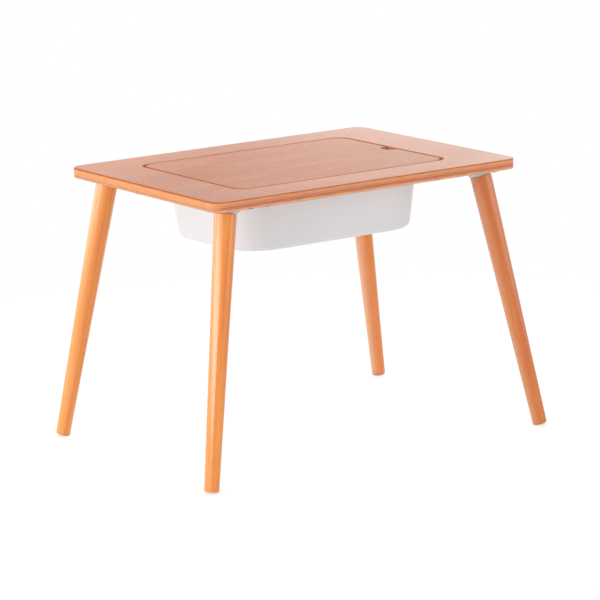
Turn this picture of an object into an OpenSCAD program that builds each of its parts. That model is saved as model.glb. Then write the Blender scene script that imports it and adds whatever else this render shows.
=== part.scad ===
// Low play table. A plywood top has a recess that holds a lift-out tub, and a
// flush plywood lid with a finger notch covers the tub. Four round tapered legs
// splay outwards from tilted steel plates.
// Millimetres. X runs along the long side, Y from front to back, Z up from the floor.
// The origin is on the floor, midway between the feet.

/* [Tabletop] */
// Length of the tabletop
top_l = 600; // [520:10:800]
// Width of the tabletop
top_w = 460; // [440:10:640]
// Thickness of the plywood
top_t = 17.5; // [15:0.5:24]
// Height of the top face above the floor
table_h = 464; // [400:2:620]
// Radius of the tabletop's corners
top_corner_r = 22; // [10:2:60]
// Rounding of the tabletop's upper and lower edges
top_edge_r = 2; // [0.5:0.5:4]
// Width of plywood between the recess and each end
border_end = 90; // [84:1:120]
// Width of plywood between the recess and each long side
border_side = 72; // [68:1:90]
// Radius of the recess's corners
recess_corner_r = 24; // [16:1:40]
// Chamfer on the recess's upper edge
recess_arris = 0.6; // [0.2:0.2:1]

/* [Lid] */
// Thickness of the lid
lid_t = 8; // [6:0.5:9]
// Gap between the lid and the recess, at both long sides and at the plain end
lid_gap = 3; // [1:0.25:4]
// Gap between the lid and the recess, at the notched end
notch_end_gap = 5; // [1:0.25:6]
// Radius of the lid's corners
lid_corner_r = 26; // [16:1:44]
// Rounding of the lid's edges
lid_edge_r = 0.8; // [0.4:0.2:1.4]
// Radius of the half-round finger notch
notch_r = 19; // [12:1:24]

/* [Storage bin] */
// Width of the ledge under the bin's rim, at the ends
ledge_end = 13.5; // [9:0.5:16]
// Width of the ledge under the bin's rim, along the long sides
ledge_side = 17.5; // [12:0.5:22]
// Depth of the bin from its rim's underside to its base
bin_depth = 105; // [70:1:140]
// Slope of the bin's walls, in degrees from upright
bin_draft = 7.5; // [3:0.5:9]
// Radius of the bin's upright corners, at the rim
bin_corner_r = 84; // [50:2:90]
// Rounding between the bin's walls and its base
bin_foot_r = 9; // [6:1:18]
// Thickness of the bin's walls and base
bin_wall = 2.5; // [1.5:0.25:3]
// Thickness of the bin's rim
rim_t = 2.5; // [1.5:0.25:3]
// Gap between the bin's rim and the recess
rim_gap = 0.8; // [0.4:0.1:1.5]
// Gap between the bin's walls and the opening they hang through
bin_gap = 1; // [0.5:0.25:2]

/* [Legs] */
// Distance from each edge of the tabletop to a leg's axis, at the underside
leg_inset = 47.5; // [45:0.5:60]
// Slope of the legs, in degrees from upright
leg_splay = 12.25; // [6:0.25:16]
// Direction in which the legs lean, in degrees from the long side
leg_turn = 34; // [20:1:60]
// Diameter of a leg at its top
leg_top_d = 36.5; // [28:0.5:42]
// Diameter of a leg at its foot
leg_foot_d = 24.5; // [18:0.5:28]
// Rounding of a leg's foot
leg_foot_r = 2.5; // [1:0.5:5]
// Chamfer on a leg's upper edge
leg_arris = 1; // [0.4:0.2:1.6]

/* [Leg plates] */
// Side of the square plate
plate_size = 64; // [62:1:68]
// Radius of the plate's corners
plate_corner_r = 9; // [4:1:14]
// Thickness of the plate's steel
plate_t = 2; // [1.5:0.25:3]
// Distance between the plate's screw holes, both ways
plate_hole_pitch = 47; // [46:0.5:49]
// Diameter of the plate's screw holes
plate_hole_d = 4.5; // [4.2:0.1:5]
// Depth of the dish, along the leg's axis
dish_depth = 11; // [11:0.5:16]
// Diameter of the dish where it leaves the plate
dish_base_d = 56; // [52:1:58]
// Width of the dish's rim around the leg's top
dish_margin = 1.2; // [0.5:0.1:2]

/* [Fasteners] */
// Diameter of the hanger bolt
bolt_d = 8; // [6:1:8]
// Length of the hanger bolt inside the leg
bolt_in_leg = 42; // [30:1:60]
// Length of the bolt's pointed end
bolt_tip = 8; // [4:1:12]
// Length of the bolt that stands out of the nut
bolt_past_nut = 0.5; // [0:0.5:1.5]
// Width of the nut across its flats
nut_flats = 13; // [12:0.5:14]
// Height of the nut
nut_h = 5; // [4:0.5:6]
// Length of the plate screws under their heads
screw_l = 14; // [10:1:14]
// Diameter of the plate screws
screw_d = 4; // [3:0.5:4]
// Length of a plate screw's pointed end
screw_tip = 3; // [1:0.5:4]
// Diameter of a plate screw's head
head_d = 8; // [6:0.5:8.5]
// Height of a plate screw's head
head_h = 2.6; // [2:0.2:3.4]
// Length of the cross recess in a screw's head
cross_l = 4.4; // [2:0.2:5]
// Width of the cross recess's slots
cross_w = 0.9; // [0.5:0.1:1.2]
// Depth of the cross recess
cross_h = 1.3; // [0.6:0.1:1.6]
// Clearance round a fastener in its hole
fastener_gap = 0.05; // [0.02:0.01:0.1]

/* [Hidden] */
$fn = 96;
hull_fn = 32;
past = 1; // how far a cut runs past the face that it opens

// Heights of the faces that seat on each other
underside_z = table_h - top_t;
rim_top_z = table_h - lid_t;
ledge_z = rim_top_z - rim_t;

// The recess, and the pieces that lie in it
recess_l = top_l - 2 * border_end;
recess_w = top_w - 2 * border_side;
lid_l = recess_l - lid_gap - notch_end_gap;
lid_w = recess_w - 2 * lid_gap;
lid_x = (lid_gap - notch_end_gap) / 2;
opening_l = recess_l - 2 * ledge_end;
opening_w = recess_w - 2 * ledge_side;
mouth_l = opening_l - 2 * bin_gap;
mouth_w = opening_w - 2 * bin_gap;

// A leg's slanted axis meets the underside here
leg_x = top_l / 2 - leg_inset;
leg_y = top_w / 2 - leg_inset;

// A leg stands on the inner edge of its foot, so its length puts that edge on the floor
leg_foot_reach = (leg_foot_d / 2 - leg_foot_r) * sin(leg_splay);
leg_end = (underside_z - leg_foot_r - leg_foot_reach) / cos(leg_splay) + leg_foot_r;
leg_l = leg_end - dish_depth;

// The nut and the bolt's end stay inside the dish
nut_z = dish_depth - plate_t - nut_h;
bolt_end_z = nut_z - bolt_past_nut;
screw_in_top = screw_l - plate_t;

corners = [
    ["front_left", -1, -1],
    ["front_right", 1, -1],
    ["back_left", -1, 1],
    ["back_right", 1, 1]
];
leg_parts = ["leg_plate_", "leg_", "plate_nut_", "hanger_bolt_", "plate_screws_"];

// ---- Shapes that repeat ----

module rounded_rectangle(length, width, r) {
    square([length - 2 * r, width], center = true);
    square([length, width - 2 * r], center = true);
    for (sx = [-1, 1], sy = [-1, 1])
        translate([sx * (length / 2 - r), sy * (width / 2 - r)])
            circle(r);
}

// Carries a half section all round a rounded rectangle. The child draws the
// section from the middle out to $reach, with Y as its height.
module all_round(length, width, r) {
    for (run = [[length, width, 0], [width, length, 90]])
        rotate([90, 0, 90 + run[2]])
            linear_extrude(run[0] - 2 * r, center = true)
                for (side = [0, 1])
                    mirror([side, 0])
                        let ($reach = run[1] / 2) children();
    for (quarter = [0 : 3])
        let (sx = sign(cos(90 * quarter + 45)), sy = sign(sin(90 * quarter + 45)))
            translate([sx * (length / 2 - r), sy * (width / 2 - r)])
                rotate([0, 0, 90 * quarter])
                    rotate_extrude(angle = 90)
                        let ($reach = r) children();
}

// Half section of a board with rounded edges
module board_section(thickness, edge_r) {
    square([$reach - edge_r, thickness]);
    translate([0, edge_r])
        square([$reach, thickness - 2 * edge_r]);
    for (y = [edge_r, thickness - edge_r])
        translate([$reach - edge_r, y])
            circle(edge_r);
}

// Half section that narrows by its draft towards a rounded foot at Y = 0
module drafted_section(depth, draft, foot_r) {
    foot_x = $reach - depth * tan(draft) - foot_r * (1 - sin(draft)) / cos(draft);
    polygon([
        [0, 0],
        [foot_x, 0],
        [foot_x + foot_r * cos(draft), foot_r * (1 - sin(draft))],
        [$reach, depth],
        [0, depth]
    ]);
    translate([foot_x, foot_r])
        circle(foot_r);
}

// Half section of a cut whose upper edge, at Y = depth, is chamfered
module chamfered_cut_section(depth, arris) {
    polygon([
        [0, 0],
        [$reach, 0],
        [$reach, depth - arris],
        [$reach + arris + past, depth + past],
        [0, depth + past]
    ]);
}

// ---- Placing on a leg ----

// Turns X to the way that a corner's leg leans, with the origin on the underside
module at_corner(corner) {
    translate([corner[1] * leg_x, corner[2] * leg_y, underside_z])
        rotate([0, 0, atan2(corner[2] * sin(leg_turn), corner[1] * cos(leg_turn))])
            children();
}

// Points +Z down the leg's axis
module down_leg() {
    rotate([0, 180 - leg_splay, 0])
        children();
}

module at_plate_holes() {
    for (sx = [-1, 1], sy = [-1, 1])
        translate([sx * plate_hole_pitch / 2, sy * plate_hole_pitch / 2])
            children();
}

// ---- Top, lid and bin ----

module tabletop() {
    color("#D9A184")
        difference() {
            translate([0, 0, underside_z])
                all_round(top_l, top_w, top_corner_r)
                    board_section(top_t, top_edge_r);
            translate([0, 0, ledge_z])
                all_round(recess_l, recess_w, recess_corner_r)
                    chamfered_cut_section(table_h - ledge_z, recess_arris);
            translate([0, 0, underside_z - past])
                linear_extrude(top_t)
                    rounded_rectangle(opening_l, opening_w, bin_corner_r + bin_gap);
            for (corner = corners)
                at_corner(corner)
                    at_plate_holes()
                        translate([0, 0, -past])
                            cylinder(h = screw_in_top + past, d = screw_d + 2 * fastener_gap);
        }
}

module lid() {
    color("#DCA68A")
        translate([lid_x, 0, rim_top_z])
            difference() {
                all_round(lid_l, lid_w, lid_corner_r)
                    board_section(lid_t, lid_edge_r);
                translate([lid_l / 2, 0])
                    rotate_extrude()
                        polygon([
                            [0, -past],
                            [notch_r + lid_edge_r + past, -past],
                            [notch_r, lid_edge_r],
                            [notch_r, lid_t - lid_edge_r],
                            [notch_r + lid_edge_r + past, lid_t + past],
                            [0, lid_t + past]
                        ]);
            }
}

module storage_bin() {
    mouth_rise = rim_t + past; // the inside is cut on past the rim at the same slope
    inside = mouth_rise * tan(bin_draft) - bin_wall;
    color("#ECEAE7")
        translate([0, 0, ledge_z - bin_depth])
            difference() {
                union() {
                    all_round(mouth_l, mouth_w, bin_corner_r)
                        drafted_section(bin_depth, bin_draft, bin_foot_r);
                    translate([0, 0, bin_depth])
                        linear_extrude(rim_t)
                            rounded_rectangle(
                                recess_l - 2 * rim_gap,
                                recess_w - 2 * rim_gap,
                                recess_corner_r - rim_gap
                            );
                }
                translate([0, 0, bin_wall])
                    all_round(mouth_l + 2 * inside, mouth_w + 2 * inside, bin_corner_r + inside)
                        drafted_section(
                            bin_depth - bin_wall + mouth_rise,
                            bin_draft,
                            bin_foot_r - bin_wall
                        );
            }
}

// ---- Leg, plate and fasteners of one corner ----

module leg(corner) {
    taper = atan((leg_top_d - leg_foot_d) / 2 / leg_l);
    color("#E39A5C")
        at_corner(corner)
            down_leg()
                difference() {
                    translate([0, 0, dish_depth + leg_l])
                        rotate([180, 0, 0])
                            rotate_extrude()
                                let ($reach = leg_top_d / 2)
                                    drafted_section(leg_l, taper, leg_foot_r);
                    translate([0, 0, dish_depth - past])
                        cylinder(h = bolt_in_leg + past, d = bolt_d + 2 * fastener_gap);
                    translate([0, 0, dish_depth])
                        rotate_extrude()
                            polygon([
                                [leg_top_d / 2 - leg_arris - past, -past],
                                [leg_top_d / 2 + past, -past],
                                [leg_top_d / 2 + past, leg_arris + past]
                            ]);
                }
}

module leg_plate(corner) {
    dish_top_d = leg_top_d + 2 * dish_margin;
    color("#B9BABB")
        at_corner(corner)
            difference() {
                union() {
                    translate([0, 0, -plate_t])
                        linear_extrude(plate_t)
                            rounded_rectangle(plate_size, plate_size, plate_corner_r);
                    dish(dish_base_d, dish_top_d, dish_depth);
                }
                dish(dish_base_d - 2 * plate_t, dish_top_d - 2 * plate_t, dish_depth - plate_t, past);
                at_plate_holes()
                    translate([0, 0, -plate_t - past])
                        cylinder(h = plate_t + 2 * past, d = plate_hole_d);
                down_leg()
                    cylinder(h = dish_depth + past, d = bolt_d + 2 * fastener_gap);
            }
}

// A level disc and a disc square to the leg's axis, joined by a sloping skirt. The
// level disc runs up past the underside by rise, for a cut.
module dish(base_d, end_d, depth, rise = 0) {
    hull() {
        translate([0, 0, -plate_t / 2])
            cylinder(h = plate_t / 2 + rise, d = base_d, $fn = hull_fn);
        down_leg()
            translate([0, 0, depth - plate_t / 2])
                cylinder(h = plate_t / 2, d = end_d, $fn = hull_fn);
    }
}

module plate_nut(corner) {
    color("#C9CACC")
        at_corner(corner)
            down_leg()
                translate([0, 0, nut_z])
                    difference() {
                        cylinder(h = nut_h, d = nut_flats / cos(30), $fn = 6);
                        translate([0, 0, -past])
                            cylinder(h = nut_h + 2 * past, d = bolt_d + 2 * fastener_gap);
                    }
}

module hanger_bolt(corner) {
    bolt_l = dish_depth + bolt_in_leg - bolt_end_z;
    color("#D2D3D4")
        at_corner(corner)
            down_leg()
                translate([0, 0, bolt_end_z])
                    rotate_extrude()
                        polygon([
                            [0, 0],
                            [bolt_d / 2, 0],
                            [bolt_d / 2, bolt_l - bolt_tip],
                            [0, bolt_l]
                        ]);
}

module plate_screws(corner) {
    color("#C2C3C5")
        at_corner(corner)
            at_plate_holes()
                translate([0, 0, -plate_t])
                    screw();
}

// A pan-head screw that points up, with its head's seat at Z = 0
module screw() {
    difference() {
        rotate_extrude()
            union() {
                polygon([
                    [0, 0],
                    [screw_d / 2, 0],
                    [screw_d / 2, screw_l - screw_tip],
                    [0, screw_l]
                ]);
                intersection() {
                    translate([0, -head_h])
                        square([head_d / 2, head_h]);
                    translate([0, head_crown_r() - head_h])
                        circle(head_crown_r());
                }
            }
        for (turn = [0, 90])
            rotate([0, 0, turn])
                translate([-cross_l / 2, -cross_w / 2, -head_h - past])
                    cube([cross_l, cross_w, cross_h + past]);
    }
}

// Radius of the crown that brings a head down to a rim of a third of its height
function head_crown_r() =
    let (rise = head_h * 2 / 3)
    (pow(head_d / 2, 2) + pow(rise, 2)) / (2 * rise);

// ---- The assembly ----

tabletop();
lid();
storage_bin();
for (corner = corners) {
    leg_plate(corner);
    leg(corner);
    plate_nut(corner);
    hanger_bolt(corner);
    plate_screws(corner);
}
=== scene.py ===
import bpy
from math import atan2, cos, pi, radians, sin
from mathutils import Euler, Matrix, Vector


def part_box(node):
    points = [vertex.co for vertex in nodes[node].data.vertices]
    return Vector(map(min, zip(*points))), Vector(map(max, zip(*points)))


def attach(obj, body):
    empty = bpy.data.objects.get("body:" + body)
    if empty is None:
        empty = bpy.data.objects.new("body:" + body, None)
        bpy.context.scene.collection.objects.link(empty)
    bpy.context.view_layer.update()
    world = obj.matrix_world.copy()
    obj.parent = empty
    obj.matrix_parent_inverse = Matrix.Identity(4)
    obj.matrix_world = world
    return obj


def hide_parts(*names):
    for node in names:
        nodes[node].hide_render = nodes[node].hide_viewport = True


# Kids' play table: a plywood top with a flush lid over a white lift-out tub, on four splayed beech legs.
# Metres, in the same frame as the solids. Finishes and patterns are in millimetres, and colours are sRGB hex.

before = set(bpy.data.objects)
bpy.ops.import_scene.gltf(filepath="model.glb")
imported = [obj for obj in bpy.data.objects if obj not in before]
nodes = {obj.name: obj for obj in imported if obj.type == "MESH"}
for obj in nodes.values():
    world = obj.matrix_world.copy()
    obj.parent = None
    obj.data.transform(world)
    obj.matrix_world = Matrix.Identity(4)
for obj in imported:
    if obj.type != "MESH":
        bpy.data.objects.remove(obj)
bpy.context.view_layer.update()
mm = 0.001
corners = {"front_left": (-1, -1), "front_right": (1, -1), "back_left": (-1, 1), "back_right": (1, 1)}

camera = {
    "place": (-2.8746, -4.2999, 1.3594),
    "azimuth": -33.82,  # degrees round from looking along +Y
    "elevation": 12.35,  # degrees that it looks down
    "roll": -1.74,
    "lens": 187.5,
    "sensor": 36,  # mm wide
    "farthest": 200,  # metres, past the far edge of the floor
}
studio = {
    "worldStrength": 0.79,
    "windowSide": (-0.9, 0.44, 0.0),
    "windowSideGain": 0.12,  # how much stronger the room's light is from that side, and weaker opposite
    "floorSize": 60,
    "floorHex": "#F1F1F1",
    "shadowShare": 0.5,  # the part of the floor's shading that the camera sees; the rest is plain white
    "shadowReach": (0.6, 1.3),  # distances from the table over which even that part fades to white
    "fullLight": 0.8,  # what a white floor shows near the table where nothing shades it
}
# White lamps, with their power in watts
lamps = {
    "windowLeft": {"place": (-2.42, -0.3, 0.55), "aim": (0, 0, 0.3), "size": (2.8, 0.4), "power": 23},
    "windowBack": {"place": (-1.5, 1.87, 0.5), "aim": (0, 0, 0.3), "size": (2.0, 0.5), "power": 7},
    "fillRight": {"place": (1.95, -2.2, 0.7), "aim": (0, 0, 0.3), "size": (2.4, 1.2), "power": 15},
    "topSheen": {"place": (1.1, 0.85, 0.75), "aim": (0.2, 0, 0.46), "size": (1.0, 0.6), "power": 7},
}


def linear(hexColour):
    channels = [int(hexColour[i:i + 2], 16) / 255 for i in (1, 3, 5)]
    return tuple(c / 12.92 if c <= 0.04045 else ((c + 0.055) / 1.055) ** 2.4 for c in channels) + (1,)


white = linear("#FFFFFF")


def addNode(tree, kind, links=None, stops=None, **settings):
    # A link's value is a socket, a node (its first output), or a plain number, vector or colour.
    # A ramp's stops are (position, sRGB hex or grey level)
    node = tree.nodes.new("ShaderNode" + kind)
    for name, value in settings.items():
        setattr(node, name, value)
    for socket, value in (links or {}).items():
        if isinstance(value, bpy.types.Node):
            value = value.outputs[0]
        if isinstance(value, bpy.types.NodeSocket):
            tree.links.new(value, node.inputs[socket])
        else:
            node.inputs[socket].default_value = value
    for i, (place, colour) in enumerate(stops or []):
        ramp = node.color_ramp.elements
        element = ramp[i] if i < len(ramp) else ramp.new(place)
        element.position = place
        element.color = linear(colour) if isinstance(colour, str) else (colour,) * 3 + (1,)
    return node


def newMaterial(name):
    material = bpy.data.materials.new(name)
    material.use_nodes = True
    material.node_tree.nodes.clear()
    return material, material.node_tree


def seenByCamera(tree):
    # 1 where the eye looks straight, in a reflection or through glass, and 0 for light that falls on things
    rays = addNode(tree, "LightPath").outputs
    seen = addNode(tree, "Math", {0: rays["Is Camera Ray"], 1: rays["Is Glossy Ray"]}, operation="MAXIMUM")
    return addNode(tree, "Math", {0: seen, 1: rays["Is Transmission Ray"]}, operation="MAXIMUM")


def setTheCamera():
    data = bpy.data.cameras.new("photoCamera")
    data.lens = camera["lens"]
    data.sensor_width = camera["sensor"]
    data.clip_end = camera["farthest"]
    shot = bpy.data.objects.new("photoCamera", data)
    bpy.context.collection.objects.link(shot)
    turn = Euler((radians(90 - camera["elevation"]), 0, radians(camera["azimuth"]))).to_matrix()
    shot.rotation_euler = (turn @ Matrix.Rotation(radians(camera["roll"]), 3, "Z")).to_euler()
    shot.location = camera["place"]
    bpy.context.scene.camera = shot
    bpy.context.scene.view_settings.view_transform = "Standard"


def lightTheStudio():
    world = bpy.data.worlds.new("whiteStudio")
    bpy.context.scene.world = world
    world.use_nodes = True
    tree = world.node_tree
    tree.nodes.clear()
    strength, gain = studio["worldStrength"], studio["windowSideGain"]
    direction = addNode(tree, "TexCoord").outputs["Generated"]
    side = addNode(tree, "VectorMath", {0: direction, 1: studio["windowSide"]}, operation="DOT_PRODUCT")
    room = addNode(tree, "MapRange", {"Value": side.outputs["Value"], 1: -1.0, 2: 1.0,
                                      3: strength * (1 - gain), 4: strength * (1 + gain)})
    lit = addNode(tree, "Background", {"Color": white, "Strength": room})
    shown = addNode(tree, "Background", {"Color": white, "Strength": 1.0})
    mix = addNode(tree, "MixShader", {0: seenByCamera(tree), 1: lit, 2: shown})
    addNode(tree, "OutputWorld", {"Surface": mix})
    for name, lamp in lamps.items():
        data = bpy.data.lights.new(name, "AREA")
        data.shape = "RECTANGLE"
        data.size, data.size_y = lamp["size"]
        data.energy = lamp["power"]
        light = bpy.data.objects.new(name, data)
        bpy.context.collection.objects.link(light)
        light.location = lamp["place"]
        aim = Vector(lamp["aim"]) - Vector(lamp["place"])
        light.rotation_euler = aim.to_track_quat("-Z", "Y").to_euler()
        light.visible_camera = False


def layTheFloor():
    # White studio paper: lit like any paper, but shown to the camera as white with the table's shadow on it
    bpy.ops.object.select_all(action="DESELECT")
    bpy.ops.mesh.primitive_plane_add(size=studio["floorSize"])
    floor = bpy.context.object
    floor.name = "studioFloor"
    material, tree = newMaterial("studioPaper")
    share = studio["shadowShare"]
    paper = addNode(tree, "BsdfDiffuse", {"Color": linear(studio["floorHex"])})
    shaded = addNode(tree, "BsdfDiffuse", {"Color": (share, share, share, 1)})
    whitened = addNode(tree, "Emission", {"Color": white, "Strength": 1 - share * studio["fullLight"]})
    shown = addNode(tree, "AddShader", {0: shaded, 1: whitened})
    place = addNode(tree, "TexCoord").outputs["Object"]
    distance = addNode(tree, "VectorMath", {0: place}, operation="LENGTH").outputs["Value"]
    near, far = studio["shadowReach"]
    fade = addNode(tree, "MapRange", {"Value": distance, 1: near, 2: far})
    bare = addNode(tree, "Emission", {"Color": white, "Strength": 1.0})
    shown = addNode(tree, "MixShader", {0: fade, 1: shown, 2: bare})
    above = addNode(tree, "MixShader", {0: seenByCamera(tree), 1: paper, 2: shown})
    below = addNode(tree, "BsdfTransparent")  # views from under the table look through it
    backfacing = addNode(tree, "NewGeometry").outputs["Backfacing"]
    surface = addNode(tree, "MixShader", {0: backfacing, 1: above, 2: below})
    addNode(tree, "OutputMaterial", {"Surface": surface})
    floor.data.materials.append(material)


setTheCamera()
lightTheStudio()
layTheFloor()
print("camera, floor and light are set")

leastNoise, mostNoise = 0.3, 0.7  # a noise's values mostly lie between these


def dress(name, material):
    nodes[name].data.materials.clear()
    nodes[name].data.materials.append(material)


def inMillimetres(tree):
    place = addNode(tree, "TexCoord").outputs["Object"]
    return addNode(tree, "VectorMath", {0: place, "Scale": 1 / mm}, operation="SCALE")


plywoodFinish = {
    # Each grain's size along x, y and z, its detail and how much it bends
    "grains": {
        "cloud": ((285.7, 83.33, 83.33), 2.0, 0.6),  # soft patches of lighter and darker wood
        "ring": ((250, 9.09, 9.09), 3.0, 0.8),  # the faint lines of the growth rings
        "fibre": ((33.3, 1.667, 1.667), 3.0, 0.0),  # coarser than the real fibres, so that they show
        "mottle": ((14.3, 11.1, 11.1), 2.0, 0.0),  # short blotches where pores lie close
        "streak": ((20, 20, 1.818), 3.0, 0.0),  # on the sawn edge only
    },
    # Each ramp: a grain's value, and the tone, the share of ring tone or the shading that it gives
    "cloudTones": [(0.32, "#D3957A"), (0.5, "#D79B81"), (0.68, "#DCA28A")],
    "ringShare": [(0.5, 0.0), (0.72, 0.11)],
    "ringHex": "#B97D63",
    "fibreShade": [(0.3, 0.96), (0.7, 1.03)],
    "mottleShade": [(0.3, 0.95), (0.7, 1.04)],
    "streakShade": [(0.32, 0.86), (0.5, 1.0), (0.7, 1.06)],
    # Painted sheen on the veneer: paler towards the right end, the far left corner and the right front
    # corner, where the lamps' light glances off the lacquer. x and y are weighted and added up, and from one
    # sum to another the tone changes
    "paintedSheen": [
        {"weights": (1, 0, 0), "reach": (0, 300), "share": 1.0, "hex": "#D19E87"},
        {"weights": (-1, 1.2, 0), "reach": (200, 460), "share": 0.8, "hex": "#F0B399"},
        {"weights": (1, -1.5, 0), "reach": (480, 600), "share": 1.0, "hex": "#DEAE95"},
    ],
    "waveLength": 25,  # along the edge, over which the plies' lines rise and fall
    "waveHeight": 0.4,
    "endReach": (14, 1),  # from the end over which the long edge's plies turn into those of the end
    "veneer": 0.15,  # how far the face's tone comes down the edge
    "veneerAtGroove": 0.02,  # the groove's stain starts right under the face
    "voidHalf": (5, 5, 1),  # half the length, width and height of a small gap in the core
    "voidCore": 0.727,  # the part of it that is darkest
    "voidShare": 0.9,
    "voidHex": "#5E3524",
    "relief": (0.1, 0.2),  # the strength and the depth to which the fibres stand out
    "roughness": 0.6,
}
# Each sheet's plies: how deep each starts below the face, and its colour on the long edges. The ends cut the
# crossed plies the other way, so they are paler. Voids are gaps in the core that show as dark dashes low on
# the edge, by their centres
sheets = {
    "tabletop": {
        "material": "tabletopPlywood",
        "shine": 0.3,
        "plies": [(0.0, "#C27347"), (2.2, "#E39A6D"), (3.6, "#DE9163"), (5.0, "#E0946A"),
                  (6.4, "#CE7F54"), (7.8, "#DA8F66"), (9.0, "#B96C49"), (10.6, "#CC825E"),
                  (12.0, "#B86C4B"), (13.2, "#DC976F"), (14.6, "#EBA97E"), (16.4, "#C98B67")],
        "endPlies": [(0.0, "#B2612A"), (2.7, "#DE8F57"), (5.0, "#E19863"), (8.7, "#CF8854"),
                     (10.1, "#E09A69"), (12.0, "#C0794A"), (13.6, "#D29064"), (16.2, "#C88A5F")],
        "voids": [(-236, -230, 447.4), (-204, -230, 447.2), (130, -230, 447.2), (-300, 11, 447.6)],
    },
    "lid": {
        "material": "lidPlywood",
        "shine": 0.07,  # the lid is the more matt of the two
        "plies": [(0.0, "#C27347"), (1.6, "#D48A60"), (3.0, "#B0683F"), (4.2, "#D0865E"),
                  (5.6, "#B36C45"), (6.8, "#C47C58")],
    },
}
groove = {
    "reach": 12,  # outside the lid's box that still counts as the groove round it
    "depth": 8.5,  # to just past the tub's rim: below it the walls are bare plies
    "lidCorner": 26,
    "gap": 3,
    "arris": 1.2,  # how wide the band of painted shade on the arris is, on both sides of the gap
    "arrisShadeHex": "#CB7244",
    # The walls by depth: the stain ran over the arris, then a paler band of painted light where the walls sit
    # deep in the gap, and dark painted shade at the far end of the finger notch
    "walls": [(0.0, "#D4804F"), (1.2, "#D4804F"), (2.0, "#E8A47E"), (4.5, "#E8A47E"), (7.0, "#6B4335")],
}


def veneerFace(tree, place, grains):
    # Soft patches with faint ring lines, fine fibres and blotches, all along X
    look = plywoodFinish
    face = addNode(tree, "ValToRGB", {0: grains["cloud"]}, stops=look["cloudTones"])
    # Painted sheen: the tone drifts paler where light glances off the lacquer
    for sheenPatch in look["paintedSheen"]:
        reached = addNode(tree, "VectorMath", {0: place, 1: sheenPatch["weights"]}, operation="DOT_PRODUCT")
        start, end = sheenPatch["reach"]
        sheenShare = addNode(tree, "MapRange", {"Value": reached.outputs["Value"], 1: start, 2: end,
                                             4: sheenPatch["share"]})
        tone = linear(sheenPatch["hex"])
        face = addNode(tree, "Mix", {0: sheenShare, 6: face, 7: tone}, data_type="RGBA").outputs[2]
    rings = addNode(tree, "ValToRGB", {0: grains["ring"]}, stops=look["ringShare"])
    face = addNode(tree, "Mix", {0: rings, 6: face, 7: linear(look["ringHex"])}, data_type="RGBA").outputs[2]
    for grain in ("fibre", "mottle"):
        shade = addNode(tree, "ValToRGB", {0: grains[grain]}, stops=look[grain + "Shade"])
        face = addNode(tree, "Mix", {0: 1.0, 6: face, 7: shade}, data_type="RGBA",
                       blend_type="MULTIPLY").outputs[2]
    return face


def sawnEdge(tree, axes, depth, grains, node):
    # Plies by depth, their lines a little uneven, with short streaks along them
    look, sheet = plywoodFinish, sheets[node]
    low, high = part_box(node)
    thickness, end = (high[2] - low[2]) / mm, high[0] / mm
    along = addNode(tree, "Math", {0: axes[0], 1: axes[1]}, operation="ADD")
    along = addNode(tree, "CombineXYZ", {0: along})
    wave = addNode(tree, "TexNoise", {"Vector": along, "Scale": 1 / look["waveLength"]})
    height = look["waveHeight"]
    wave = addNode(tree, "MapRange", {"Value": wave, 1: leastNoise, 2: mostNoise, 3: -height, 4: height})
    uneven = addNode(tree, "Math", {0: depth, 1: wave}, operation="ADD")
    share = addNode(tree, "Math", {0: uneven, 1: thickness}, operation="DIVIDE")
    layers = {}
    for face in ("plies", "endPlies"):
        stops = [(down / thickness, colour) for down, colour in sheet.get(face, sheet["plies"])]
        layers[face] = addNode(tree, "ValToRGB", {0: share}, stops=stops)
        layers[face].color_ramp.interpolation = "CONSTANT"
    fromMiddle = addNode(tree, "Math", {0: axes[0]}, operation="ABSOLUTE")
    start, full = look["endReach"]
    atEnd = addNode(tree, "MapRange", {"Value": fromMiddle, 1: end - start, 2: end - full})
    edge = addNode(tree, "Mix", {0: atEnd, 6: layers["plies"], 7: layers["endPlies"]}, data_type="RGBA")
    streaks = addNode(tree, "ValToRGB", {0: grains["streak"]}, stops=look["streakShade"])
    return addNode(tree, "Mix", {0: 1.0, 6: edge.outputs[2], 7: streaks}, data_type="RGBA",
                   blend_type="MULTIPLY").outputs[2]


def withinTheGroove(tree, axes, depth, lidHalf):
    inGroove = addNode(tree, "Math", {0: depth, 1: groove["depth"]}, operation="LESS_THAN")
    for axis, half in enumerate(lidHalf):
        fromMiddle = addNode(tree, "Math", {0: axes[axis]}, operation="ABSOLUTE")
        inside = addNode(tree, "Math", {0: fromMiddle, 1: half + groove["reach"]}, operation="LESS_THAN")
        inGroove = addNode(tree, "Math", {0: inGroove, 1: inside}, operation="MULTIPLY")
    return inGroove


def onTheArris(tree, place, inGroove, lidHalf):
    # The band of painted shade either side of the gap, by distance from the lid's rounded outline. The
    # underside of the top stays plain
    corner, gap = groove["lidCorner"], groove["gap"]
    straight = (lidHalf[0] - corner, lidHalf[1] - corner, 0)
    flat = addNode(tree, "VectorMath", {0: place, 1: (1, 1, 0)}, operation="MULTIPLY")
    flat = addNode(tree, "VectorMath", {0: flat}, operation="ABSOLUTE")
    flat = addNode(tree, "VectorMath", {0: flat, 1: straight}, operation="SUBTRACT")
    flat = addNode(tree, "VectorMath", {0: flat, 1: (0, 0, 0)}, operation="MAXIMUM")
    outline = addNode(tree, "VectorMath", {0: flat}, operation="LENGTH").outputs["Value"]
    fromGap = addNode(tree, "Math", {0: outline, 1: corner + gap / 2}, operation="SUBTRACT")
    fromGap = addNode(tree, "Math", {0: fromGap}, operation="ABSOLUTE")
    near = addNode(tree, "Math", {0: fromGap, 1: gap / 2 + groove["arris"]}, operation="LESS_THAN")
    return addNode(tree, "Math", {0: near, 1: inGroove}, operation="MULTIPLY")


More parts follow.
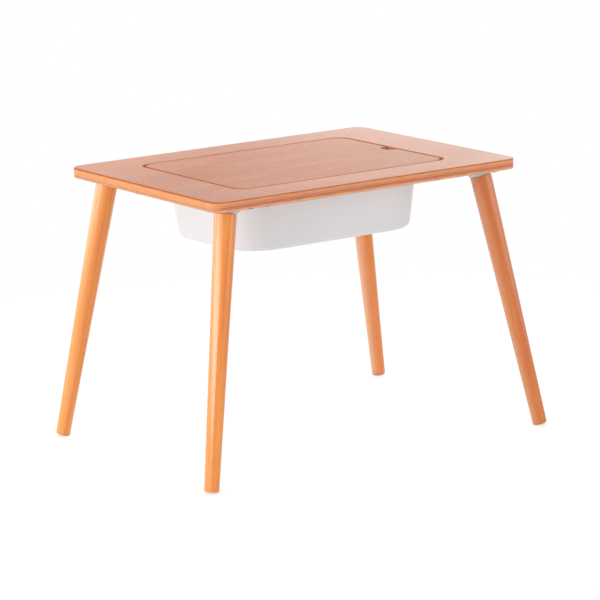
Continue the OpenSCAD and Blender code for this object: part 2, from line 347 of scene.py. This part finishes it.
def plywoodMaterial(node):
    # Birch plywood with a warm reddish face, stained and satin-lacquered: calm long grain on the faces, bare
    # plies in the edges, and a dark line under the face where its sanded arris took more stain
    look, sheet = plywoodFinish, sheets[node]
    low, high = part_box(node)
    thickness = (high[2] - low[2]) / mm
    material, tree = newMaterial(sheet["material"])
    place = inMillimetres(tree)
    axes = addNode(tree, "SeparateXYZ", {0: place}).outputs
    depth = addNode(tree, "Math", {0: high[2] / mm, 1: axes[2]}, operation="SUBTRACT")
    grains = {}
    for grain, (size, detail, bend) in look["grains"].items():
        scaled = addNode(tree, "Mapping", {"Vector": place, "Scale": [1 / length for length in size]})
        grains[grain] = addNode(tree, "TexNoise", {"Vector": scaled, "Scale": 1.0, "Detail": detail,
                                                   "Distortion": bend})

    # The groove's stained walls, with painted light and painted shade by depth, and the painted shade on its
    # arris, which also run round the lid itself
    lidHalf = [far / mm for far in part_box("lid")[1][:2]]
    inGroove = withinTheGroove(tree, axes, depth, lidHalf)
    # The walls' stain, with painted light deep in the gap and painted shade at the notch's far end
    share = addNode(tree, "Math", {0: depth, 1: thickness}, operation="DIVIDE")
    stops = [(down / thickness, colour) for down, colour in groove["walls"]]
    walls = addNode(tree, "ValToRGB", {0: share}, stops=stops)
    edge = sawnEdge(tree, axes, depth, grains, node)
    edge = addNode(tree, "Mix", {0: inGroove, 6: edge, 7: walls}, data_type="RGBA").outputs[2]
    face = veneerFace(tree, place, grains)
    # Painted shade on the arris either side of the gap
    onArris = onTheArris(tree, place, inGroove, lidHalf)
    arris = linear(groove["arrisShadeHex"])
    face = addNode(tree, "Mix", {0: onArris, 6: face, 7: arris}, data_type="RGBA").outputs[2]

    # Within a veneer's thickness of either face, the face shows
    fromMiddle = addNode(tree, "Math", {0: depth, 1: thickness / 2}, operation="SUBTRACT")
    fromMiddle = addNode(tree, "Math", {0: fromMiddle}, operation="ABSOLUTE")
    veneer = addNode(tree, "MapRange", {"Value": inGroove, 3: thickness / 2 - look["veneer"],
                                        4: thickness / 2 - look["veneerAtGroove"]})
    onFace = addNode(tree, "Math", {0: fromMiddle, 1: veneer}, operation="GREATER_THAN")
    colour = addNode(tree, "Mix", {0: onFace, 6: edge, 7: face}, data_type="RGBA").outputs[2]
    for centre in sheet.get("voids", []):
        away = addNode(tree, "VectorMath", {0: place, 1: centre}, operation="SUBTRACT")
        away = addNode(tree, "VectorMath", {0: away, 1: look["voidHalf"]}, operation="DIVIDE")
        away = addNode(tree, "VectorMath", {0: away}, operation="LENGTH").outputs["Value"]
        dark = addNode(tree, "MapRange", {"Value": away, 1: 1.0, 2: look["voidCore"], 4: look["voidShare"]})
        hollow = linear(look["voidHex"])
        colour = addNode(tree, "Mix", {0: dark, 6: colour, 7: hollow}, data_type="RGBA").outputs[2]

    strength, deep = look["relief"]
    relief = addNode(tree, "Bump", {"Height": grains["fibre"], "Strength": strength, "Distance": deep * mm})
    surface = addNode(tree, "BsdfPrincipled", {"Base Color": colour, "Roughness": look["roughness"],
                                               "Specular IOR Level": sheet["shine"], "Normal": relief})
    addNode(tree, "OutputMaterial", {"Surface": surface})
    return material


legStance = {
    "splay": 12.25,  # degrees from upright
    "turn": 34,  # degrees from the long side
}
legFinish = {
    # Each grain's size across and along the leg, and its detail
    "grains": {
        "band": ((13.33, 13.33, 285.7), 2.0),  # soft stripes that run nearly the leg's length
        "fibre": ((1.818, 1.818, 50), 3.0),  # also coarser than the real ones
        "fleck": ((1.25, 1.25, 7.692), 1.0),  # ray flecks at twice their real size, so that they show
    },
    "bandStops": (0.3, 0.5, 0.7),
    "fibreShade": [(0.3, 0.9), (0.7, 1.05)],
    "fleckShare": [(0.62, 0.0), (0.76, 0.35)],
    "fleckHex": "#B0662F",
    "sheenSide": (-0.83, 0.56, 0),  # the side of every leg, towards the windows, that takes a painted sheen
    "fullSheen": 0.95,  # the cosine of the angle from that side at which the painted sheen is full
    # The one pin knot: within its core, a part of its radius, it takes the full share of its tone
    "knot": {"leg": "front_right", "centre": (241.5, -195.5, 426), "radius": 2.2, "core": 0.4, "share": 0.5,
             "hex": "#8A4A24"},
    "footReach": (0.5, 5.0),  # heights above the floor over which the leg turns darker towards its foot
    "footShare": 0.55,
    "footHex": "#9C5A2C",
    "relief": (0.1, 0.2),  # as on the plywood
    "roughness": 0.17,
    "gloss": 0.66,
}
# Each leg's own tones, dark to light, its painted sheen tone, and the cosine at which that painted sheen sets
# in
legTones = {
    "front_left": {"band": ("#E27E25", "#EB892E", "#F29B43"), "sheenTone": "#F29B50", "sheenFrom": -0.3},
    "front_right": {"band": ("#C86621", "#D27027", "#DA8238"), "sheenTone": "#D59164", "sheenFrom": 0.0},
    "back_left": {"band": ("#DE7D2E", "#E88C3A", "#F0A052"), "sheenTone": "#F2A55A", "sheenFrom": -0.3},
    "back_right": {"band": ("#DC7829", "#E27F30", "#E88F47"), "sheenTone": "#E5AC84", "sheenFrom": -0.3},
}


def legLean(corner):
    sideX, sideY = corners[corner]
    turn = radians(legStance["turn"])
    return atan2(sideY * sin(turn), sideX * cos(turn))


def legRoot(corner):
    # Where the leg's slanted axis meets the underside of the top, in the middle of its square plate
    low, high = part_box("leg_plate_" + corner)
    return Vector(((low[0] + high[0]) / 2, (low[1] + high[1]) / 2, high[2]))


def legTurn(corner):
    # Turns the leg's own frame, with Z up its axis, into the table's
    return Matrix.Rotation(legLean(corner), 3, "Z") @ Matrix.Rotation(-radians(legStance["splay"]), 3, "Y")


def beechMaterial(corner):
    # Turned beech under a satin oil-lacquer: straight grain down the leg, soft stripes and short dark flecks
    look, tones = legFinish, legTones[corner]
    back = legTurn(corner).inverted()
    material, tree = newMaterial("turnedBeech_" + corner)
    place = inMillimetres(tree)
    legPlace = addNode(tree, "Mapping", {"Vector": place, "Location": -(back @ legRoot(corner)) / mm,
                                         "Rotation": back.to_euler()})
    grains = {}
    for grain, (size, detail) in look["grains"].items():
        scaled = addNode(tree, "Mapping", {"Vector": legPlace, "Scale": [1 / length for length in size]})
        grains[grain] = addNode(tree, "TexNoise", {"Vector": scaled, "Scale": 1.0, "Detail": detail})
    stops = list(zip(look["bandStops"], tones["band"]))
    colour = addNode(tree, "ValToRGB", {0: grains["band"]}, stops=stops)

    # Painted sheen by the direction round the leg, on the side towards the windows
    around = addNode(tree, "VectorMath", {0: legPlace, 1: (1, 1, 0)}, operation="MULTIPLY")
    around = addNode(tree, "VectorMath", {0: around}, operation="NORMALIZE")
    towards = back @ Vector(look["sheenSide"])
    facing = addNode(tree, "VectorMath", {0: around, 1: towards}, operation="DOT_PRODUCT").outputs["Value"]
    legSheen = addNode(tree, "MapRange", {"Value": facing, 1: tones["sheenFrom"], 2: look["fullSheen"]})
    sheenTone = linear(tones["sheenTone"])
    colour = addNode(tree, "Mix", {0: legSheen, 6: colour, 7: sheenTone}, data_type="RGBA").outputs[2]

    shade = addNode(tree, "ValToRGB", {0: grains["fibre"]}, stops=look["fibreShade"])
    colour = addNode(tree, "Mix", {0: 1.0, 6: colour, 7: shade}, data_type="RGBA",
                     blend_type="MULTIPLY").outputs[2]
    flecks = addNode(tree, "ValToRGB", {0: grains["fleck"]}, stops=look["fleckShare"])
    fleck = linear(look["fleckHex"])
    colour = addNode(tree, "Mix", {0: flecks, 6: colour, 7: fleck}, data_type="RGBA").outputs[2]
    knot = look["knot"]
    if corner == knot["leg"]:
        away = addNode(tree, "VectorMath", {0: place, 1: knot["centre"]}, operation="DISTANCE")
        core = knot["core"] * knot["radius"]
        inKnot = addNode(tree, "MapRange", {"Value": away.outputs["Value"], 1: knot["radius"], 2: core,
                                            4: knot["share"]})
        knotTone = linear(knot["hex"])
        colour = addNode(tree, "Mix", {0: inKnot, 6: colour, 7: knotTone}, data_type="RGBA").outputs[2]
    # Darker over the last few millimetres above the floor
    height = addNode(tree, "SeparateXYZ", {0: place}).outputs[2]
    low, high = look["footReach"]
    foot = addNode(tree, "MapRange", {"Value": height, 1: low, 2: high, 3: look["footShare"], 4: 0.0})
    footTone = linear(look["footHex"])
    colour = addNode(tree, "Mix", {0: foot, 6: colour, 7: footTone}, data_type="RGBA").outputs[2]

    strength, deep = look["relief"]
    relief = addNode(tree, "Bump", {"Height": grains["fibre"], "Strength": strength, "Distance": deep * mm})
    surface = addNode(tree, "BsdfPrincipled", {"Base Color": colour, "Roughness": look["roughness"],
                                               "Specular IOR Level": look["gloss"], "Normal": relief})
    addNode(tree, "OutputMaterial", {"Surface": surface})
    return material


tubFinish = {
    "tones": [(0.35, "#DBDDE0"), (0.65, "#DFE0E3")],
    # Sizes, with how much detail each has
    "cloud": (83.33, 1.0),  # soft patches of the two tones
    "grain": (1.111, 2.0),  # the fine spark-eroded texture of the mould
    "relief": (0.15, 0.1),  # the strength and the depth of that texture
    "roughness": 0.42,
    "gloss": 0.4,
}


def polypropyleneMaterial():
    # Injection-moulded polypropylene: opaque white with a fine matt texture that blurs what it reflects
    look = tubFinish
    material, tree = newMaterial("mouldedPolypropylene")
    place = inMillimetres(tree)
    size, detail = look["cloud"]
    cloud = addNode(tree, "TexNoise", {"Vector": place, "Scale": 1 / size, "Detail": detail})
    tint = addNode(tree, "ValToRGB", {0: cloud}, stops=look["tones"])
    size, detail = look["grain"]
    grain = addNode(tree, "TexNoise", {"Vector": place, "Scale": 1 / size, "Detail": detail})
    strength, deep = look["relief"]
    relief = addNode(tree, "Bump", {"Height": grain, "Strength": strength, "Distance": deep * mm})
    surface = addNode(tree, "BsdfPrincipled", {"Base Color": tint, "Roughness": look["roughness"],
                                               "Specular IOR Level": look["gloss"], "Normal": relief})
    addNode(tree, "OutputMaterial", {"Surface": surface})
    return material


steelFinish = {
    "tones": [(0.35, "#AEB2B5"), (0.5, "#B8BCBE"), (0.65, "#C3C6C8")],
    # Sizes, with how much detail each has
    "spangle": (3.333, 3.0),  # cloudy patches of the zinc
    "scratch": ((6.667, 0.4, 0.4), 2.0),  # fine marks of handling, along x
    "relief": (0.1, 0.05),  # the strength and the depth of those marks
    "roughness": (0.3, 0.48),  # of the darkest patches and of the palest
}


def zincSteelMaterial():
    # Zinc-plated mild steel: a thin bright grey coat, slightly mottled and brushed by handling
    look = steelFinish
    material, tree = newMaterial("zincPlatedSteel")
    place = inMillimetres(tree)
    size, detail = look["spangle"]
    spangle = addNode(tree, "TexNoise", {"Vector": place, "Scale": 1 / size, "Detail": detail})
    colour = addNode(tree, "ValToRGB", {0: spangle}, stops=look["tones"])
    least, most = look["roughness"]
    roughness = addNode(tree, "MapRange", {"Value": spangle, 1: leastNoise, 2: mostNoise, 3: least, 4: most})
    size, detail = look["scratch"]
    scaled = addNode(tree, "Mapping", {"Vector": place, "Scale": [1 / length for length in size]})
    scratch = addNode(tree, "TexNoise", {"Vector": scaled, "Scale": 1.0, "Detail": detail})
    strength, deep = look["relief"]
    relief = addNode(tree, "Bump", {"Height": scratch, "Strength": strength, "Distance": deep * mm})
    surface = addNode(tree, "BsdfPrincipled", {"Base Color": colour, "Roughness": roughness, "Metallic": 1.0,
                                               "Normal": relief})
    addNode(tree, "OutputMaterial", {"Surface": surface})
    return material


zincSteel = zincSteelMaterial()
for sheetName in sheets:
    dress(sheetName, plywoodMaterial(sheetName))
dress("storage_bin", polypropyleneMaterial())
for legCorner in corners:
    dress("leg_" + legCorner, beechMaterial(legCorner))
    for fitting in ("leg_plate_", "plate_nut_", "hanger_bolt_", "plate_screws_"):
        dress(fitting + legCorner, zincSteel)
print("finishes are on")


platePressing = {
    "side": 64 * mm,
    "cornerRadius": 9 * mm,
    "cornerSteps": 12,
    "steel": 2 * mm,
    "dishRadius": 28 * mm,
    "dishDepth": 11 * mm,  # along the leg
    "floorRadius": 19.4 * mm,
    # Rings of the pressed dish from its rim to its floor: how far down, and how far in
    "rings": [(0.05, 0.02), (0.14, 0.08), (0.8, 0.84), (0.92, 0.94), (0.98, 1.0), (1.0, 1.07)],
    "holePitch": 47 * mm,
    "holeRadius": 2.25 * mm,
    "holeSteps": 24,
    "drillLength": 12 * mm,
    "boltHoleRadius": 4.05 * mm,
    "brokenEdge": 0.3 * mm,
    "brokenEdgeSteps": 2,
    "brokenEdgeAngle": 50,  # degrees: sharper edges than this are broken
    "smoothAngle": 35,
    "hair": 0.03 * mm,  # the margin when vertices are picked by their place
}


def selectVertices(mesh, wanted):
    bpy.ops.mesh.select_all(action="DESELECT")
    bpy.ops.mesh.select_mode(type="VERT")
    bpy.ops.object.mode_set(mode="OBJECT")
    for vertex in mesh.vertices:
        vertex.select = wanted(vertex.co)
    bpy.ops.object.mode_set(mode="EDIT")


def drawTheSheet():
    # The sheet's underside: a rounded square, with a dish whose floor tilts square to the leg
    size = platePressing
    underside = Vector((0, 0, -size["steel"]))
    rimSteps = 4 * (size["cornerSteps"] + 1)
    bpy.ops.object.select_all(action="DESELECT")
    bpy.ops.mesh.primitive_plane_add(size=size["side"], location=underside)
    plate = bpy.context.object
    bpy.ops.object.transform_apply()
    bpy.ops.object.mode_set(mode="EDIT")
    bpy.ops.mesh.bevel(offset=size["cornerRadius"], segments=size["cornerSteps"], affect="VERTICES")
    bpy.ops.mesh.select_all(action="SELECT")
    bpy.ops.mesh.delete(type="ONLY_FACE")
    bpy.ops.mesh.primitive_circle_add(vertices=rimSteps, radius=size["dishRadius"], location=underside,
                                      rotation=(0, 0, pi / rimSteps))
    bpy.ops.mesh.select_all(action="SELECT")
    bpy.ops.mesh.bridge_edge_loops()
    selectVertices(plate.data, lambda at: at.xy.length < size["dishRadius"] + size["hair"])
    bpy.ops.mesh.select_mode(type="EDGE")

    # The dish: ring by ring, each lower down the leg, narrower and more tilted
    tilt = radians(legStance["splay"])
    downLeg = Vector((sin(tilt), 0, -cos(tilt)))
    drop = size["dishDepth"] - size["steel"]
    wasDown, wasRadius = 0, size["dishRadius"]
    for down, inward in size["rings"]:
        radius = size["dishRadius"] + (size["floorRadius"] - size["dishRadius"]) * inward
        centre = underside + downLeg * drop * wasDown
        bpy.ops.mesh.extrude_edges_move()
        bpy.ops.transform.resize(value=(radius / wasRadius,) * 3, center_override=centre)
        bpy.ops.transform.rotate(value=tilt * (down - wasDown), orient_axis="Y", center_override=centre)
        bpy.ops.transform.translate(value=downLeg * drop * (down - wasDown))
        wasDown, wasRadius = down, radius
    bpy.ops.mesh.edge_face_add()
    bpy.ops.mesh.select_mode(type="FACE")
    bpy.ops.mesh.inset(thickness=wasRadius - size["boltHoleRadius"])
    bpy.ops.mesh.delete(type="FACE")
    bpy.ops.mesh.select_all(action="SELECT")
    bpy.ops.mesh.normals_make_consistent(inside=False)
    bpy.ops.object.mode_set(mode="OBJECT")
    return plate


def drillTheScrewHoles(plate):
    size = platePressing
    out = size["holePitch"] / 2
    drills = []
    for sideX, sideY in corners.values():
        place = (sideX * out, sideY * out, 0)
        bpy.ops.mesh.primitive_cylinder_add(vertices=size["holeSteps"], radius=size["holeRadius"],
                                            depth=size["drillLength"], location=place)
        drills.append(bpy.context.object)
    bpy.context.view_layer.objects.active = plate
    for drill in drills:
        cut = plate.modifiers.new("screwHole", "BOOLEAN")
        cut.operation = "DIFFERENCE"
        cut.object = drill
        bpy.ops.object.modifier_apply(modifier=cut.name)
        bpy.data.objects.remove(drill)


def pressOnePlate():
    size = platePressing
    plate = drawTheSheet()
    thicken = plate.modifiers.new("steel", "SOLIDIFY")
    thicken.thickness = size["steel"]
    thicken.offset = -1
    thicken.use_even_offset = True
    bpy.ops.object.modifier_apply(modifier=thicken.name)
    drillTheScrewHoles(plate)
    breakEdges = plate.modifiers.new("brokenEdges", "BEVEL")
    breakEdges.width = size["brokenEdge"]
    breakEdges.segments = size["brokenEdgeSteps"]
    breakEdges.limit_method = "ANGLE"
    breakEdges.angle_limit = radians(size["brokenEdgeAngle"])
    bpy.ops.object.modifier_apply(modifier=breakEdges.name)
    return plate


def pressTheLegPlates():
    plate = pressOnePlate()
    for corner in corners:
        piece = plate.copy()
        piece.data = plate.data.copy()
        piece.name = piece.data.name = "pressedPlate_" + corner
        bpy.context.collection.objects.link(piece)
        bpy.ops.object.select_all(action="DESELECT")
        piece.select_set(True)
        bpy.context.view_layer.objects.active = piece
        piece.rotation_euler = (0, 0, legLean(corner))
        piece.location = legRoot(corner)
        bpy.ops.object.transform_apply()
        bpy.ops.object.shade_smooth_by_angle(angle=radians(platePressing["smoothAngle"]))
        piece.data.materials.append(zincSteel)
        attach(piece, "table")
        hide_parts("leg_plate_" + corner)
    bpy.data.objects.remove(plate)


pressTheLegPlates()
print("leg plates are pressed")
